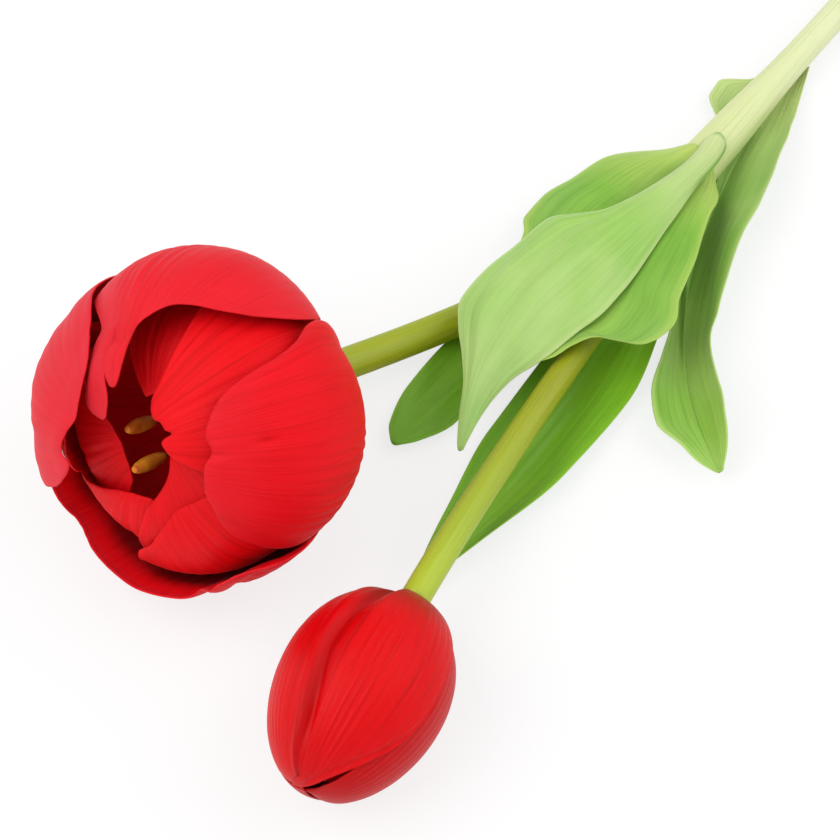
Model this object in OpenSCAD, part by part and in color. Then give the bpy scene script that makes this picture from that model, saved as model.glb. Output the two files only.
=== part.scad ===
// A tulip spray lying on a table: one open double flower and one bud on two branches that
// leave a single main stem, with five leaves round the fork. Millimetres.
// Origin: centre of the main stem's cut end. The stem runs along -X and the fork is at -stem_len.

/* [Main stem] */
// Length of the main stem, from its cut end to the fork
stem_len = 165; // [130:5:260]
// Diameter of the main stem
stem_d = 7.5; // [6.5:0.1:9]
// Diameter of the wire inside the main stem
stem_wire_d = 3.2; // [2:0.1:4]
// Length of the flared sheath below the fork
sheath_len = 47; // [30:1:70]
// Diameter of the sheath where it meets the fork
sheath_d = 11.2; // [10:0.1:12.5]

/* [Branches] */
// Diameter of the branch that carries the open flower
open_stem_d = 8; // [6.5:0.1:8.6]
// Diameter of the branch that carries the bud
bud_stem_d = 6.8; // [6:0.1:8.6]
// Diameter of the wire inside each branch
branch_wire_d = 2.4; // [1.5:0.1:3]
// Length of the fork, from the main stem to the branches
fork_len = 23; // [18:1:30]
// Reach of the open flower's seat past the fork, along the main stem
open_reach = 123; // [110:1:135]
// Sideways offset of the open flower's seat
open_side = 36; // [30:1:44]
// Reach of the bud's seat past the fork, along the main stem
bud_reach = 148; // [135:0.5:160]
// Sideways offset of the bud's seat
bud_side = 24; // [20:1:32]

/* [Plug-in heads] */
// Diameter of the peg that each head is pushed on
peg_d = 4; // [3:0.1:4.6]
// Length of that peg
peg_len = 12; // [8:0.5:14]
// Radial clearance of the peg in its hub
peg_fit = 0.05; // [0.02:0.01:0.1]
// Wall of the hubs round the peg
hub_wall = 1.55; // [1.2:0.05:1.8]

/* [Open flower] */
// Radius of the open flower at its widest
open_r = 37; // [33:0.5:40]
// Height of the open flower along its own axis
open_h = 57; // [50:0.5:62]
// Tilt of the open flower's axis above the table
open_tilt = 37.5; // [30:0.5:45]
// Direction of the open flower's axis on the table, 180 is straight on
open_turn = 178; // [168:1:188]
// Thickness of a petal
petal_t = 1.0; // [0.7:0.05:1.2]
// How much closer to the axis a petal's sides lie than its middle
petal_crown = 1.8; // [1:0.1:2.4]
// Length of an anther
anther_len = 11; // [8:0.5:12]
// Diameter of an anther
anther_d = 3.4; // [2.4:0.1:3.8]

/* [Bud] */
// Radius of the bud at its widest
bud_r = 20; // [17:0.5:22]
// Length of the bud
bud_len = 49.5; // [46:0.5:58]
// Direction of the bud's axis on the table, 180 is straight on
bud_turn = 191.5; // [186:0.5:197]
// Thickness of a bud tepal
tepal_t = 0.9; // [0.6:0.05:1]

/* [Leaves] */
// Thickness of a leaf at its middle
leaf_t = 0.9; // [0.6:0.05:1]
// Length of the cup leaf, over both branches
cup_leaf_len = 86; // [75:1:92]
// Length of the front leaf, on top of the cup leaf
front_leaf_len = 110; // [98:1:116]
// Length of the leaf under the bud's branch
bud_leaf_len = 126; // [110:1:132]
// Length of the leaf under the open flower's branch
back_leaf_len = 98; // [85:1:104]
// Length of the folded leaf at the side
side_leaf_len = 113; // [104:1:120]
// Gap between the fork and the leaves that wrap it
leaf_gap = 0.5; // [0.3:0.05:0.8]
// Length of one facet along a leaf
leaf_facet = 5.2; // [4:0.2:8]

/* [Hidden] */
$fn = 48;
stem_r = stem_d / 2;
sheath_r = sheath_d / 2;
floor_z = -max(sheath_r, stem_r) - 0.6;      // the table's height
wire_gap = 0.05;                             // radial gap of a wire in its bore
hub_r = peg_d / 2 + peg_fit + hub_wall;
hub_top = peg_len + 2;
core_in = 5.2 + tepal_t;                      // how far the foam lies inside the bud's profile
socket_len = 6;                              // how deep a branch wire enters the fork

// Unit vector of a head's axis, from its turn and tilt
function aim(turn, tilt) = [cos(tilt) * cos(turn), cos(tilt) * sin(turn), sin(tilt)];
function unit(v) = v / norm(v);
// Point at t on a cubic curve with the four control points p
function bez(p, t) = p[0] * pow(1 - t, 3) + p[1] * 3 * t * pow(1 - t, 2)
                   + p[2] * 3 * t * t * (1 - t) + p[3] * pow(t, 3);
// Direction at t on the same curve
function bez_dir(p, t) = unit((p[1] - p[0]) * pow(1 - t, 2) + (p[2] - p[1]) * 2 * t * (1 - t)
                   + (p[3] - p[2]) * t * t);
// Column c of a table, read at key x
function at(tab, c, x) = lookup(x, [for (r = tab) [r[0], r[c]]]);

// Seats and axes of the two heads, from the fork
open_axis = aim(open_turn, open_tilt);
open_seat = [-open_reach, open_side, floor_z + 0.95 * open_r - 0.5 * open_h * open_axis[2]];
bud_axis = aim(bud_turn, 2);
bud_seat = [-bud_reach, -bud_side, floor_z + bud_r];

// Branch routes: they leave the fork side by side and end along the head's axis
open_exit = [-fork_len, open_stem_d / 2 + 0.1, 0];
bud_exit = [-fork_len, -bud_stem_d / 2 - 0.1, 0];
open_dip = open_seat - (open_seat[2] + 6.7) / open_axis[2] * open_axis;   // where the branch dips lowest
open_route = [open_exit, open_exit + [-30, -3, 2.5], open_dip, open_seat - 1.2 * open_axis];
bud_route = [bud_exit, bud_exit + [-30, -4.5, -0.8],
             bud_seat - 38 * bud_axis, bud_seat - 1.2 * bud_axis];

// Petal profiles, as four (radius, height) control points from the hub to the tip
petal_seat = hub_r + 0.4;
function profile(r, z) = [[petal_seat, z[0] * open_h], [r[0] * open_r, z[1] * open_h],
                          [r[1] * open_r, z[2] * open_h], [r[2] * open_r, z[3] * open_h]];
closed_p = profile([1.24, 1.32, 0.41], [0, 0.035, 0.81, 1]);
tall_p = profile([1.24, 1.35, 0.43], [0, 0.035, 0.825, 1]);
loose_p = profile([1.25, 1.34, 0.44], [0, 0.035, 0.825, 1]);
wide_p = profile([1.15, 1.19, 0.80], [0, 0.035, 0.74, 0.98]);
fold_p = profile([1.16, 1.27, 0.42], [0.02, 0.04, 0.79, 0.99]);
over_p = profile([1.08, 1.18, 0.27], [0.055, 0.09, 0.79, 0.965]);
round_p = profile([0.95, 1.30, 0.30], [0.055, 0.06, 0.92, 0.84]);
inner_p = profile([0.88, 0.99, 0.22], [0.11, 0.12, 0.80, 0.80]);
// Share of a petal's full half-width, from its base to its tip
petal_width = [[0, 0.45], [0.15, 0.72], [0.4, 0.96], [0.6, 1], [1.2, 1]];

// Petals: [profile, middle angle, half-width angle, layer offset, twist per degree, crown, margin,
// and, where it isn't petal_width, the share of the half-width at each height]
// The margin is a list of [side -1..1, height share], and it makes the lobes and notches.
petal_top = [tall_p, 203, 45, -0.6, -0.01, 1.25,
    [[-1, .42], [-.955, .53], [-.87, .63], [-.79, .695], [-.625, .76], [-.435, .79], [-.26, .815], [-.05, .86],
     [.1, .895], [.135, .93], [.155, .99], [.24, 1.015], [.34, 1.025], [.42, 1.015], [.465, 1.0], [.54, 1.035],
     [.7, 1.055], [.85, 1.062], [.95, 1.05], [1, 1.0]],
    [[0, .45], [.15, .72], [.4, .96], [.6, 1], [.69, .97], [.79, .83], [.88, .70], [.9, .78], [.93, .90],
     [.96, 1.05], [1.01, 1.25], [1.07, 1.3]]];
petal_left = [loose_p, 280, 41, 0.5, 0.045, 0.2,
    [[-1, .90], [-.944, .945], [-.80, .98], [-.4, 1.02], [-.04, 1.035], [.35, 1.02], [.68, .985], [.84, .93],
     [.95, .865], [1, .62]],
    [[0, .45], [.15, .62], [.4, .82], [.66, .86], [.72, .90], [.8, .97], [.86, 1], [1.2, 1]]];
petal_low = [wide_p, 17, 56, 0, 0, 0,
    [[-1, .84], [-.88, .73], [-.65, .69], [-.43, .745], [-.2, .77], [.05, .79], [.27, .80], [.49, .79],
     [.67, .776], [.89, .68], [1, .55]]];
petal_right = [closed_p, 115, 43, 0, -0.01, 1.2,
    [[-1, .5], [-.98, .74], [-.95, .81], [-.89, .855], [-.69, .905], [-.46, .94], [-.12, .95], [.11, .935],
     [.33, .945], [.53, .93], [.74, .885], [.86, .80], [.89, .71], [.94, .575], [1, .40]]];
inner_1 = [over_p, 147, 45, 0, -0.02, 0.4,
    [[-1, .94], [-.89, .99], [-.53, 1.005], [-.3, .985], [-.09, .995], [.3, 1.01], [.53, 1.005], [.74, .985],
     [.8, .94], [.88, .86], [.93, .78], [1, .65]]];
inner_2 = [inner_p, 213, 34, 0, -0.02, 0.4,
    [[-1, .5], [-.62, .72], [-.55, .86], [-.48, .95], [0, .995], [.48, 1.0], [.62, .94], [.7, .8], [1, .55]]];
inner_3 = [round_p, 315, 44, -4, -0.02, 0.4,
    [[-1, .8], [-.6, .95], [-.26, .985], [.1, .995], [.5, .985], [.85, .955], [1, .8]]];
inner_4 = [round_p, 359, 38, -2.5, -0.02, 0.4,
    [[-1, .6], [-.75, .78], [-.58, .85], [-.16, .93], [.2, .95], [.5, .955], [.75, .91], [1, .7]]];
inner_5 = [round_p, 58, 44, -1.1, -0.02, 0.4,
    [[-1, .76], [-.91, .905], [-.755, .955], [-.29, .99], [.22, .995], [.68, .975], [1, .8]]];
inner_6 = [round_p, 56, 45, 0.95, -0.02, 0.4,
    [[-1, .70], [-.88, .80], [-.68, .845], [-.54, .88], [-.29, .92], [.01, .94], [.48, .925], [1, .75]]];
inner_7 = [fold_p, 296, 31, -1.5, -0.02, 1,
    [[-1, .6], [-.7, .86], [-.2, .95], [.3, .93], [.75, .85], [.93, .79], [1, .6]]];
inner_8 = [inner_p, 136, 32, 0, -0.02, 0.4,
    [[-1, .5], [-.7, .82], [-.3, .90], [.3, .90], [.7, .82], [1, .5]]];

// Bud tepals, in the same form
bud_p = [[petal_seat, 0], [1.39 * bud_r, 0.145 * bud_len], [0.98 * bud_r, 0.95 * bud_len],
         [0.06 * bud_r, bud_len]];
bud_fill_p = concat([[petal_seat + 0.7, 0]], [for (i = [1:3]) bud_p[i]]);
bud_width = [[0, 0.8], [0.3, 1], [1.2, 1]];
tepal_front = [bud_p, 157, 37, 1.3, 0, 0,
    [[-1, .50], [-.93, .62], [-.7, .74], [-.4, .84], [-.05, .93], [.3, .98], [.6, .985], [.85, .975], [1, .93]]];
tepal_left = [bud_p, 236, 56, 0.1, 0, 0.3,
    [[-1, .80], [-.6, .96], [0, .985], [.6, .96], [1, .75]]];
tepal_right = [bud_p, 77, 55, 0.2, 0, 0.3,
    [[-1, .75], [-.6, .95], [0, .985], [.6, .97], [1, .85]]];
tepal_under = [bud_p, 341, 51, 1.5, 0, 0.3,
    [[-1, .6], [-.7, .85], [0, .95], [.7, .85], [1, .6]]];
tepal_fill_1 = [bud_fill_p, 295, 40, -2.6, 0, 0.2,
    [[-1, .6], [-.6, .88], [0, .95], [.6, .88], [1, .6]]];
tepal_fill_2 = [bud_fill_p, 118, 40, -2.6, 0, 0.2,
    [[-1, .6], [-.6, .88], [0, .95], [.6, .88], [1, .6]]];

// Leaves: four route points from the fork, then stations of
// [share of length, width toward +Y, width toward -Y, cup toward +Y, cup toward -Y, roll, fold], mm and degrees.
cup_top = stem_r + 0.35 + leaf_gap + leaf_t;
cup_route = [[-0.6, 0.5, cup_top], [-20, 2.4, 6.6], [-51, 1.8, 10], [-cup_leaf_len, 0.8, 8.5]];
cup_cut = [[0, 6.5, 6.5, -72, -72, 0, 0], [.12, 13, 10, -45, -30, 0, 0], [.25, 19, 14, -26, 5, -3, 0],
    [.35, 21.5, 18, -24, 8, -5, 0], [.45, 25, 21.5, -25, 10, -6, 0], [.54, 24.5, 24, -25, 11, -6, 0],
    [.6, 20.5, 26, -22, 14, -6, 0], [.68, 17, 30, -18, 16, -6, 0], [.75, 14, 31, -12, 20, -6, 0],
    [.785, 12, 28.5, -10, 22, -5, 0], [.81, 11, 16, -8, 20, -4, 0], [.85, 9, 12.3, -5, 20, -3, 0],
    [.9, 7, 9.5, -2, 15, 0, 0], [.95, 4, 5, 0, 10, 0, 0], [1, 1, 1, 0, 0, 0, 0]];
front_route = [[4, -1, sheath_r + 2], [-24.6, -9.3, 12.1], [-66.4, 20.8, 27], [4 - front_leaf_len, -5.2, 4.9]];
front_cut = [[0, 2.4, 2.4, -60, -60, 0, 0], [.04, 3.9, 3.9, -70, -70, 0, 0], [.15, 3.4, 4.5, -60, -60, 0, 0],
    [.3, 3, 8.6, -45, -45, 0, 0], [.4, 4, 12.5, -40, -38, 0, 0], [.46, 7.5, 14.7, -38, -34, 0, 0],
    [.51, 11.5, 16, -38, -30, 0, 0], [.6, 12.3, 17.2, -40, -25, 0, 0], [.68, 13.3, 16, -40, -28, 2, 0],
    [.75, 13, 14.5, -40, -30, 5, 0], [.8, 9.5, 12.5, -40, -34, 5, 0], [.85, 5, 9.3, -40, -38, 5, 0],
    [.9, 2.2, 6.5, -40, -40, 5, 0], [.95, 1.3, 3.6, -30, -30, 5, 0], [1, .6, .6, 0, 0, 0, 0]];
under_z = -stem_r - leaf_gap - 0.4;
bud_leaf_route = [[-12.7, -6.6, under_z], [-54.4, -14.2, -5.4], [-96.4, -17.2, -5.4],
    [-12.7 - bud_leaf_len, -17.2, 1]];
bud_leaf_cut = [[0, 2.5, 2, 0, 0, 0, 0], [.2, 7, 4.5, 15, 15, 0, 0], [.3, 9.5, 9, 20, 20, 0, 0],
    [.45, 11.5, 12, 25, 25, 0, 0], [.65, 11, 11, 30, 30, 0, 0], [.85, 6, 5, 30, 30, 0, 0], [1, .6, .6, 0, 0, 0, 0]];
back_route = [[-12.7, 3.4, under_z], [-49.4, 3.8, -5.4], [-79.4, 12.8, -5.4], [-12.7 - back_leaf_len, 10.8, -3]];
back_cut = [[0, 3, 2.5, 0, 0, 0, 0], [.3, 7, 5, 15, 15, 0, 0], [.6, 9, 6.5, 8, 8, 0, 0],
    [.85, 7, 8, 10, 10, 0, 0], [.96, 4, 4, 0, 0, 0, 0], [1, 1, 1, 0, 0, 0, 0]];
side_route = [[43, 0, -stem_r - 0.5 - leaf_gap], [5.2, -5.4, -5.7], [-44.8, -10.4, -5.6],
    [43 - side_leaf_len, -54.2, -1]];
side_cut = [[0, 5, 4, 60, 60, 0, 0], [.08, 7.5, 6, 10, 40, 0, 0], [.13, 15, 8, 10, 50, 0, 0],
    [.17, 15, 9.5, 10, 50, -2, 3], [.22, 9.5, 11.5, 5, 35, -8, 10], [.27, 6, 13, 0, 30, -12, 14],
    [.35, 3, 15, 0, 15, -17, 20], [.42, 2, 15.5, 0, 10, -18, 23], [.5, 2.5, 13.6, 0, 10, -18, 23],
    [.6, 3, 12.7, 0, 10, -18, 23], [.7, 3.5, 11.5, 10, 10, -20, 25], [.76, 5.5, 11, 15, 15, -25, 28],
    [.84, 9.5, 12.8, 20, 20, -30, 30], [.9, 10.5, 12.8, 28, 20, -30, 30], [.94, 6.5, 11, 30, 20, -30, 30],
    [.975, 3.5, 6, 10, 10, -30, 25], [1, 1, 1, 0, 0, -30, 20]];

INNER = [inner_1, inner_2, inner_3, inner_4, inner_5, inner_6, inner_7, inner_8];
TEPALS = [tepal_front, tepal_left, tepal_right, tepal_under, tepal_fill_1, tepal_fill_2];
// Stamens: [angle, the anther's middle as shares of open_r and open_h, lean away from the axis]
STAMENS = [[-54, .286, .658, -1], [-11, .335, .675, 6], [50, .281, .623, 2], [110, .26, .614, 2],
           [172, .26, .614, 2], [232, .26, .614, 2]];

// Closed solid between two equal grids of points, the outside and the inside of a sheet
module sheet(outside, inside) {
    nu = len(outside);
    nv = len(outside[0]);
    n = nu * nv;
    pts = concat([for (r = outside) each r], [for (r = inside) each r]);
    top = [for (i = [0:nu - 2], j = [0:nv - 2]) let (a = i * nv + j)
        each [[a, a + nv, a + nv + 1], [a, a + nv + 1, a + 1]]];
    bottom = [for (f = top) [n + f[0], n + f[2], n + f[1]]];
    rim = concat([for (j = [0:nv - 1]) j], [for (i = [1:nu - 1]) i * nv + nv - 1],
                 [for (j = [nv - 2:-1:0]) (nu - 1) * nv + j], [for (i = [nu - 2:-1:1]) i * nv]);
    wall = [for (k = [0:len(rim) - 1]) let (a = rim[k], b = rim[(k + 1) % len(rim)])
        each [[a, b, n + b], [a, n + b, n + a]]];
    polyhedron(pts, concat(top, bottom, wall), convexity = 6);
}

// One petal: a patch of a turned profile, its margin cut by the margin table
module petal(p, t, rows, width) {
    prof = p[0];
    margin = p[6];
    function place(u, m, depth) =
        let (s = u * m[1], q = bez(prof, s), d = bez_dir(prof, s),
             turn = m[0] * p[2] * lookup(s, width),
             off = p[3] + p[4] * turn - p[5] * petal_crown * m[0] * m[0] * min(1, s / 0.35) - depth,
             r = q[0] + off * d[1], z = q[1] - off * d[0])
        [r * cos(p[1] + turn), r * sin(p[1] + turn), z];
    sheet([for (i = [0:rows]) [for (m = margin) place(i / rows, m, 0)]],
          [for (i = [0:rows]) [for (m = margin) place(i / rows, m, t)]]);
}

// One leaf: cross-sections of two arcs set along a route
module leaf(route, cut, len, cols) {
    rows = ceil(len / leaf_facet);
    function place(t, v, depth) =
        let (d = bez_dir(route, t), flat = unit([d[1], -d[0], 0]), up = cross(flat, d),
             roll = at(cut, 5, t), fold = at(cut, 6, t), side = v < 0 ? -1 : 1,
             across = flat * cos(roll) + up * sin(roll), rise = up * cos(roll) - flat * sin(roll),
             out = side * across * cos(fold) + rise * sin(fold),
             lift = rise * cos(fold) - side * across * sin(fold),
             w = at(cut, v < 0 ? 2 : 1, t), c = at(cut, v < 0 ? 4 : 3, t),
             bend = abs(c) < 1 ? 1 : c, a = bend * abs(v), k = w / (bend * PI / 180),
             face = v == 0 ? rise : lift * cos(a) - out * sin(a))
        bez(route, t) + out * k * sin(a) + lift * k * (1 - cos(a)) - face * depth;
    spread = [for (j = [0:cols]) 2 * j / cols - 1];
    sheet([for (i = [0:rows]) [for (v = spread) place(i / rows, v, 0)]],
          [for (i = [0:rows]) [for (v = spread) place(i / rows, v, leaf_t * (1 - 0.35 * abs(v)))]]);
}

// Rings of points round a path, for a bent tube or wire
function ring_at(p, d, r, n) =
    let (s = unit(cross(d, [0, 0, 1])), u = cross(s, d))
    [for (k = [0:n - 1]) p + r * (cos(360 * k / n) * s + sin(360 * k / n) * u)];
function route_rings(route, r, n, rows, lead) = concat(
    lead > 0 ? [ring_at(route[0] - lead * bez_dir(route, 0), bez_dir(route, 0), r, n)] : [],
    [for (i = [0:rows]) ring_at(bez(route, i / rows), bez_dir(route, i / rows), r, n)]);

// Bent rod along a route; lead is a straight start before the route
module bent_rod(route, r, n, rows, lead) {
    rings = route_rings(route, r, n, rows, lead);
    last = len(rings) - 1;
    side = [for (i = [0:last - 1], k = [0:n - 1]) let (a = i * n + k, b = i * n + (k + 1) % n)
        each [[a, b, b + n], [a, b + n, a + n]]];
    ends = [for (k = [1:n - 2]) each [[0, k + 1, k], [last * n, last * n + k, last * n + k + 1]]];
    polyhedron([for (r0 = rings) each r0], concat(side, ends), convexity = 4);
}

// Bent tube along a route, bored for its wire
module bent_tube(route, r_out, r_in, n, rows) {
    outer = route_rings(route, r_out, n, rows, 0);
    inner = route_rings(route, r_in, n, rows, 0);
    m = len(outer) * n;
    last = len(outer) - 1;
    skin = [for (i = [0:last - 1], k = [0:n - 1]) let (a = i * n + k, b = i * n + (k + 1) % n)
        each [[a, b, b + n], [a, b + n, a + n]]];
    bore = [for (f = skin) [m + f[0], m + f[2], m + f[1]]];
    start = [for (k = [0:n - 1]) let (a = k, b = (k + 1) % n) each [[a, m + a, m + b], [a, m + b, b]]];
    end = [for (k = [0:n - 1]) let (a = last * n + k, b = last * n + (k + 1) % n)
        each [[a, b, m + b], [a, m + b, m + a]]];
    polyhedron(concat([for (r0 = outer) each r0], [for (r0 = inner) each r0]),
               concat(skin, bore, start, end), convexity = 6);
}

module at_fork() { translate([-stem_len, 0, 0]) children(); }
// Puts a piece drawn along +Z at point p, along direction d
module along(p, d) { translate(p) rotate([0, acos(d[2]), atan2(d[1], d[0])]) children(); }
module open_head() { at_fork() along(open_seat, open_axis) children(); }
module bud_head() { at_fork() along(bud_seat, bud_axis) children(); }

module main_sleeve() {
    len = stem_len - sheath_len;
    color("#dde3a8") rotate([0, -90, 0]) difference() {
        cylinder(r = stem_r, h = len);
        translate([0, 0, -1]) cylinder(d = stem_wire_d + 2 * wire_gap, h = len + 2);
    }
}

module main_wire() {
    color("#8d9094") rotate([0, -90, 0]) cylinder(d = stem_wire_d, h = stem_len + 8);
}

// Sheath that flares from the stem to the fork
module leaf_sheath() {
    flare = [for (i = [0:8]) [stem_r + (sheath_r - stem_r) * pow(i / 8, 1.5), i / 8 * sheath_len]];
    bore = stem_wire_d / 2 + wire_gap;
    color("#d9e4a0") translate([sheath_len - stem_len, 0, 0]) rotate([0, -90, 0]) rotate_extrude()
        polygon(concat([[bore, 0]], flare, [[bore, sheath_len]]));
}

// Y-shaped core that carries both branches, with a socket for each wire
module fork_core() {
    color("#c9d98a") at_fork() difference() {
        union() for (b = [[open_route, open_stem_d], [bud_route, bud_stem_d]]) {
            d = bez_dir(b[0], 0);
            hull() {
                rotate([0, -90, 0]) cylinder(r = stem_r + 0.35, h = 2, $fn = 32);
                along(b[0][0] - 2.1 * d, d) cylinder(d = b[1], h = 2, $fn = 32);
            }
        }
        translate([1, 0, 0]) rotate([0, -90, 0]) cylinder(d = stem_wire_d + 2 * wire_gap, h = 9.2);
        for (r = [open_route, bud_route]) {
            d = bez_dir(r, 0);
            along(r[0] - (socket_len + 0.2) * d, d) cylinder(d = branch_wire_d + 4 * wire_gap, h = socket_len + 3);
        }
    }
}

module branch_sleeve(route, d) {
    at_fork() bent_tube(route, d / 2, branch_wire_d / 2 + 0.2, 14, 20);
}
module branch_wire(route) {
    at_fork() bent_rod(route, branch_wire_d / 2, 8, 20, socket_len);
}
module open_sleeve() { color("#93a41f") branch_sleeve(open_route, open_stem_d); }
module open_wire() { color("#8d9094") branch_wire(open_route); }
module bud_sleeve() { color("#9aaa28") branch_sleeve(bud_route, bud_stem_d); }
module bud_wire() { color("#8d9094") branch_wire(bud_route); }

// Peg with a collar that seats on the branch's end
module peg(collar_d) {
    rotate_extrude() polygon([[0, -1.15], [collar_d / 2, -1.15], [collar_d / 2, 0], [peg_d / 2, 0],
        [peg_d / 2, peg_len - 0.8], [peg_d / 2 - 0.6, peg_len], [0, peg_len]]);
}
module open_peg() { color("#b9c26a") open_head() peg(open_stem_d); }
module bud_peg() { color("#b9c26a") bud_head() peg(bud_stem_d); }

// Hub bored for the peg; the petals spring from its side
module hub() {
    difference() {
        translate([0, 0, 0.1]) cylinder(r = hub_r, h = hub_top - 0.1);
        translate([0, 0, -1]) cylinder(r = peg_d / 2 + peg_fit, h = peg_len + 1.5);
    }
}
module open_hub() { color("#6f7d1a") open_head() hub(); }
module bud_hub() { color("#6f7d1a") bud_head() hub(); }

// Where a stamen's filament ends and its anther stands
function stamen_mid(s) = [s[1] * open_r * cos(s[0]), s[1] * open_r * sin(s[0]), s[2] * open_h];
function stamen_dir(s) = unit([sin(s[3]) * cos(s[0]), sin(s[3]) * sin(s[0]), cos(s[3])]);
function stamen_foot(s) = stamen_mid(s) - stamen_dir(s) * (anther_len / 2 + 0.2);

module stamen_whorl() {
    color("#7d1020") open_head() {
        translate([0, 0, hub_top]) difference() {
            cylinder(r = hub_r - 0.2, h = 1.4);
            translate([0, 0, -1]) cylinder(r = 1.6, h = 4);
        }
        for (s = STAMENS) {
            a = [(hub_r - 1) * cos(s[0]), (hub_r - 1) * sin(s[0]), hub_top + 0.9];
            b = stamen_foot(s);
            along(a, unit(b - a)) cylinder(r1 = 0.75, r2 = 0.45, h = norm(b - a), $fn = 24);
        }
    }
}

// Ribbed pistil with a three-lobed stigma
module pistil() {
    color("#8a8f2a") open_head() translate([0, 0, hub_top]) {
        rotate_extrude() polygon([[0, 0], [1.5, 0], [1.5, 2], [2.2, 5], [2.4, 10], [1.7, 15], [0, 15]]);
        for (a = [0:120:240]) rotate(a) translate([1.2, 0, 15.2]) sphere(r = 1.25, $fn = 24);
    }
}

module anther(s) {
    n = 8;
    outline = [for (i = [0:n]) let (a = 180 * i / n) [anther_d / 2 * pow(sin(a), 0.8), -anther_len / 2 * cos(a)]];
    color("#c98a1c") open_head() along(stamen_mid(s), stamen_dir(s)) rotate_extrude($fn = 24) polygon(outline);
}

// Foam core that fills the bud and grips its hub
module bud_core() {
    n = 10;
    outline = [for (i = [0:n]) let (t = 0.14 + 0.80 * i / n, q = bez(bud_p, t), d = bez_dir(bud_p, t))
        [max(0, q[0] - core_in * d[1]), q[1] + core_in * d[0]]];
    color("#e8e2cf") bud_head() difference() {
        rotate_extrude() polygon(concat([[0, outline[0][1]]], outline, [[0, outline[n][1]]]));
        cylinder(r = hub_r + 0.1, h = hub_top + 0.2);
    }
}

module outer_petal(p) { color("#e0142a") open_head() petal(p, petal_t, 12, p[7] == undef ? petal_width : p[7]); }
module inner_petal(i) { color("#cf0f22") open_head() petal(INNER[i], petal_t, 9, petal_width); }
module bud_tepal(i) { color("#d2141f") bud_head() petal(TEPALS[i], tepal_t, 9, bud_width); }
module cup_leaf() { color("#79ad3a") at_fork() leaf(cup_route, cup_cut, cup_leaf_len, 10); }
module front_leaf() { color("#a9d067") at_fork() leaf(front_route, front_cut, front_leaf_len, 8); }
module bud_leaf() { color("#5f9c10") at_fork() leaf(bud_leaf_route, bud_leaf_cut, bud_leaf_len, 6); }
module back_leaf() { color("#5d990f") at_fork() leaf(back_route, back_cut, back_leaf_len, 6); }
module side_leaf() { color("#7aac45") at_fork() leaf(side_route, side_cut, side_leaf_len, 10); }

main_sleeve();
main_wire();
leaf_sheath();
fork_core();
open_sleeve();
open_wire();
bud_sleeve();
bud_wire();
open_peg();
bud_peg();
cup_leaf();
front_leaf();
bud_leaf();
back_leaf();
side_leaf();
open_hub();
stamen_whorl();
pistil();
for (i = [0:5]) anther(STAMENS[i]);
outer_petal(petal_top);  // outer_petal_top
outer_petal(petal_left);  // outer_petal_left
outer_petal(petal_low);  // outer_petal_low
outer_petal(petal_right);  // outer_petal_right
for (i = [0:7]) inner_petal(i);
bud_hub();
bud_core();
for (i = [0:5]) bud_tepal(i);
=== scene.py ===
"""Looks of the tulip spray: soft moulded petals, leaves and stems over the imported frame."""

import bpy
import numpy as np
from mathutils import Matrix, Vector


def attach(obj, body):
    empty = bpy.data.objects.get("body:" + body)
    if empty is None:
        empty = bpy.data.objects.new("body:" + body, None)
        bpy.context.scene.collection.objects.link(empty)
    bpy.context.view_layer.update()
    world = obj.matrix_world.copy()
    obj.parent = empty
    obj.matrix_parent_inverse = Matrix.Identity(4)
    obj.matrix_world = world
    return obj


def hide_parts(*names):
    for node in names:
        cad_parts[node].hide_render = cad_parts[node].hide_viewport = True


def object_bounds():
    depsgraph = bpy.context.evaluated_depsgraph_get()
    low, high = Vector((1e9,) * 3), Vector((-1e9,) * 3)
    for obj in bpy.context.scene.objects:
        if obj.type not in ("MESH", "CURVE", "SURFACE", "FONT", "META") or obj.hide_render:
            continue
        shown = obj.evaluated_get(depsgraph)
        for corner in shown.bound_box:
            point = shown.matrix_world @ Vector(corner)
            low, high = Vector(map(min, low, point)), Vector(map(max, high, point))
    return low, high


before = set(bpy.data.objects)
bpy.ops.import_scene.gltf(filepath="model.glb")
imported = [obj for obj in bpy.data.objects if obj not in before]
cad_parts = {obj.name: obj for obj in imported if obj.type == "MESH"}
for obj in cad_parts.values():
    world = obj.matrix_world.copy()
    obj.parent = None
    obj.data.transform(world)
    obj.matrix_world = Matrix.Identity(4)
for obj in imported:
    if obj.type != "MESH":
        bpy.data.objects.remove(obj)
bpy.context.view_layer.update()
MM = 0.001                                 # shapes are made in millimetres, Blender's unit is the metre


# ---------------------------------------------------------------- curves and frames
def bez(points, t):
    """Points at t on a cubic curve with four control points."""
    p = np.asarray(points, float)
    t = np.asarray(t, float)[..., None]
    return (1 - t) ** 3 * p[0] + 3 * (1 - t) ** 2 * t * p[1] + 3 * (1 - t) * t * t * p[2] + t ** 3 * p[3]


def bez_dir(points, t):
    """Unit directions at t on the same curve."""
    p = np.asarray(points, float)
    t = np.asarray(t, float)[..., None]
    d = (p[1] - p[0]) * (1 - t) ** 2 + (p[2] - p[1]) * 2 * t * (1 - t) + (p[3] - p[2]) * t * t
    return d / np.linalg.norm(d, axis=-1, keepdims=True)


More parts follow.
